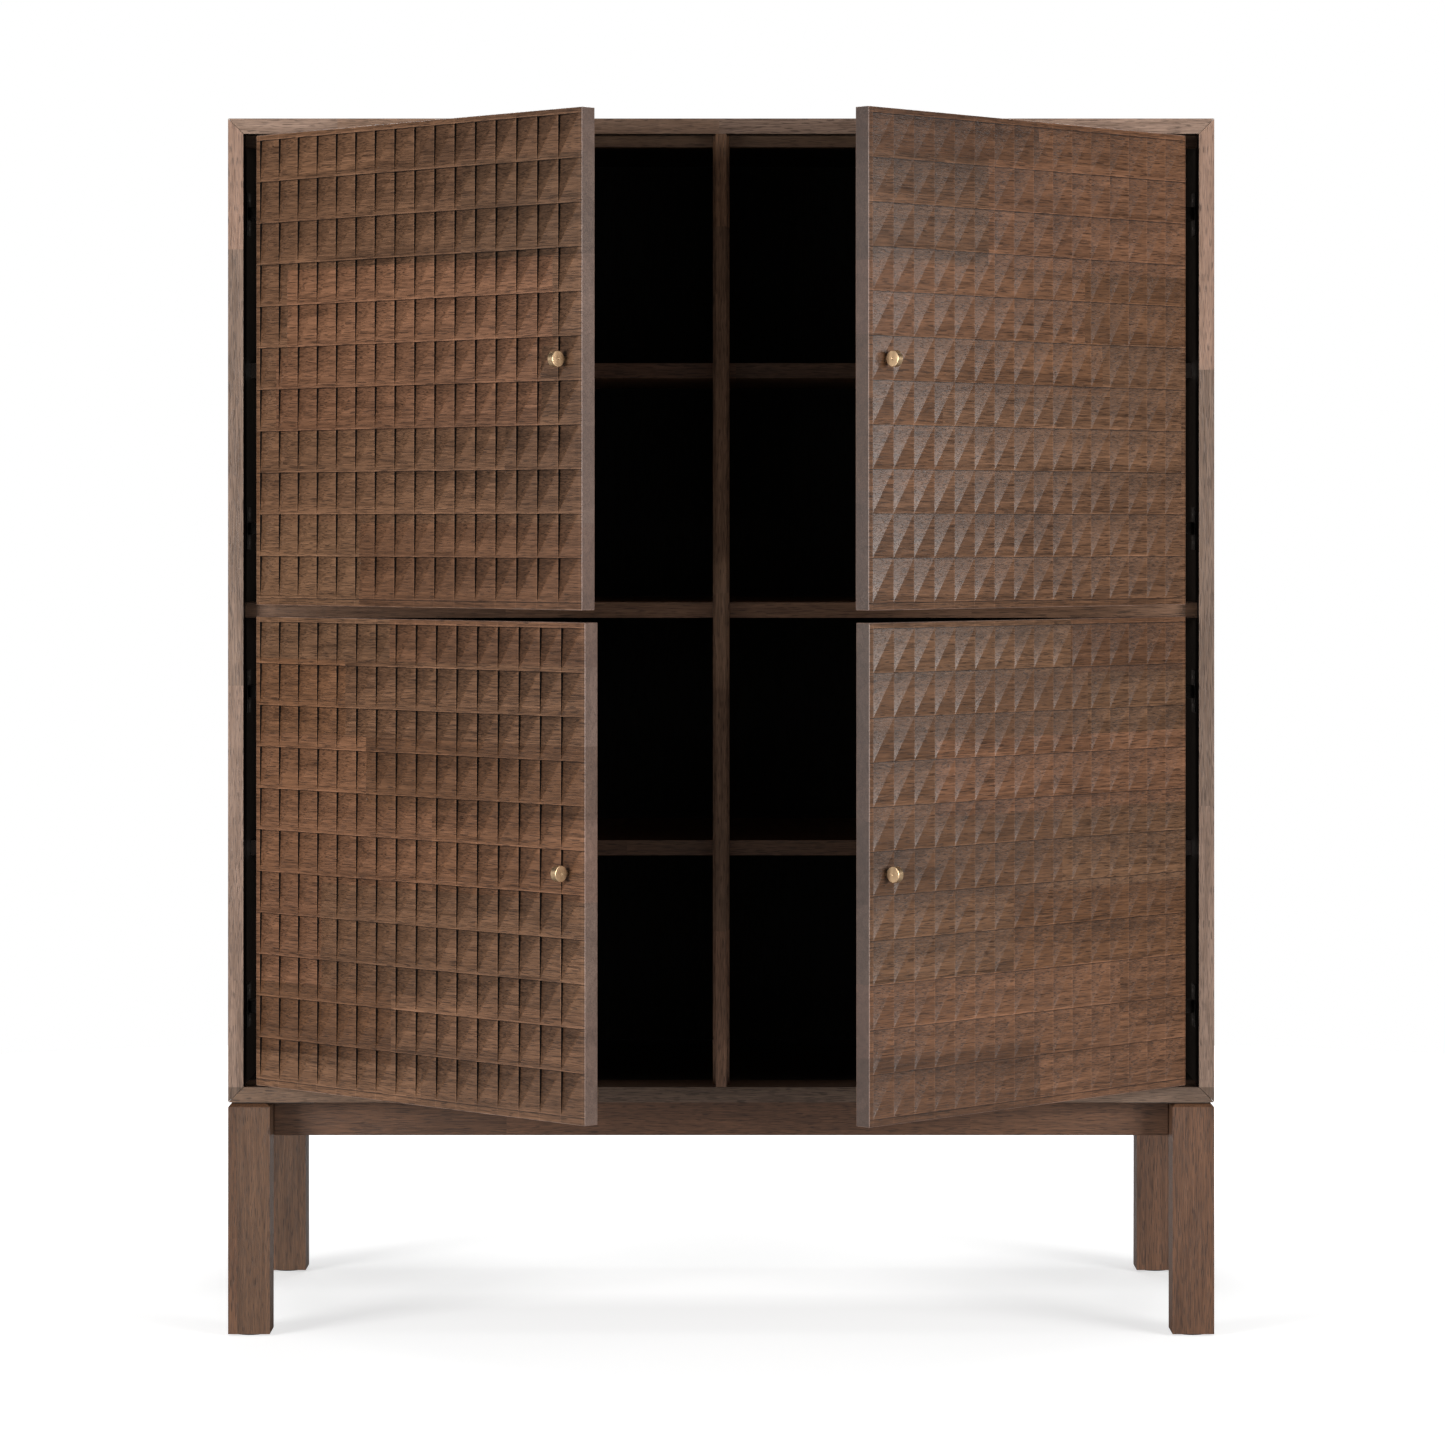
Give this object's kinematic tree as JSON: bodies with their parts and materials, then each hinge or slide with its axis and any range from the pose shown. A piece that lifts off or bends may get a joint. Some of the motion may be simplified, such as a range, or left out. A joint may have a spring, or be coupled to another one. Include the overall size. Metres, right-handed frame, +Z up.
{
  "type": "cabinet",
  "caption": "Square wooden cabinet with carved faceted doors and round brass knobs, standing on a separate base of square legs and rails.",
  "frame": {"origin": "bottom centre of the bounding box, on the floor, with the doors ajar", "axes": "+X to the right seen from the front, -Y is the front with the doors, +Z up"},
  "size_m": [1.1, 0.8718, 1.358],
  "materials": {
    "case_wood": "satin lacquer, pale brown laminated staves",
    "door_wood": "satin lacquer, carved facets, dark step faces",
    "shelf_wood": "dark stain",
    "leg_wood": "satin lacquer, darker than the case",
    "back_board": "black stain",
    "brass": "turned, satin",
    "black_steel": "black plated",
    "felt": "pressed felt"
  },
  "bodies": {
    "cabinet": {"top_panel": "case_wood", "bottom_panel": "case_wood", "left_side": "case_wood", "right_side": "case_wood", "back_panel": "back_board", "divider": "case_wood", "door_stop_left": "case_wood", "fixed_shelf_left": "case_wood", "shelf_upper_left": "shelf_wood", "shelf_lower_left": "shelf_wood", "rail_left": "leg_wood", "door_stop_right": "case_wood", "fixed_shelf_right": "case_wood", "shelf_upper_right": "shelf_wood", "shelf_lower_right": "shelf_wood", "rail_right": "leg_wood", "rail_front": "leg_wood", "rail_back": "leg_wood", "leg_front_left": "leg_wood", "corner_plate_front_left": "black_steel", "foot_pad_front_left": "felt", "leg_front_right": "leg_wood", "corner_plate_front_right": "black_steel", "foot_pad_front_right": "felt", "leg_back_left": "leg_wood", "corner_plate_back_left": "black_steel", "foot_pad_back_left": "felt", "leg_back_right": "leg_wood", "corner_plate_back_right": "black_steel", "foot_pad_back_right": "felt", "hinge_arm_upper_left_top": "black_steel", "hinge_arm_upper_left_bottom": "black_steel", "hinge_arm_upper_right_top": "black_steel", "hinge_arm_upper_right_bottom": "black_steel", "hinge_arm_lower_left_top": "black_steel", "hinge_arm_lower_left_bottom": "black_steel", "hinge_arm_lower_right_top": "black_steel", "hinge_arm_lower_right_bottom": "black_steel"},
    "door_upper_left": {"door_upper_left": "door_wood", "knob_upper_left": "brass", "knob_post_upper_left": "brass", "hinge_cup_upper_left_top": "black_steel", "hinge_cup_upper_left_bottom": "black_steel"},
    "door_upper_right": {"door_upper_right": "door_wood", "knob_upper_right": "brass", "knob_post_upper_right": "brass", "hinge_cup_upper_right_top": "black_steel", "hinge_cup_upper_right_bottom": "black_steel"},
    "door_lower_left": {"door_lower_left": "door_wood", "knob_lower_left": "brass", "knob_post_lower_left": "brass", "hinge_cup_lower_left_top": "black_steel", "hinge_cup_lower_left_bottom": "black_steel"},
    "door_lower_right": {"door_lower_right": "door_wood", "knob_lower_right": "brass", "knob_post_lower_right": "brass", "hinge_cup_lower_right_top": "black_steel", "hinge_cup_lower_right_bottom": "black_steel"}
  },
  "joints": [
    {"name": "hinge_upper_left", "type": "hinge", "parent": "cabinet", "child": "door_upper_left", "pos_m": [-0.523, -0.07859, 1.0773], "axis": [0, 0, -1], "range_deg": [-44.2, 60.8]},
    {"name": "hinge_upper_right", "type": "hinge", "parent": "cabinet", "child": "door_upper_right", "pos_m": [0.523, -0.07859, 1.0773], "axis": [0, 0, 1], "range_deg": [-45.6, 59.4]},
    {"name": "hinge_lower_left", "type": "hinge", "parent": "cabinet", "child": "door_lower_left", "pos_m": [-0.523, -0.07859, 0.5412], "axis": [0, 0, -1], "range_deg": [-43.7, 61.3]},
    {"name": "hinge_lower_right", "type": "hinge", "parent": "cabinet", "child": "door_lower_right", "pos_m": [0.523, -0.07859, 0.5412], "axis": [0, 0, 1], "range_deg": [-45.7, 59.3]}
  ]
}
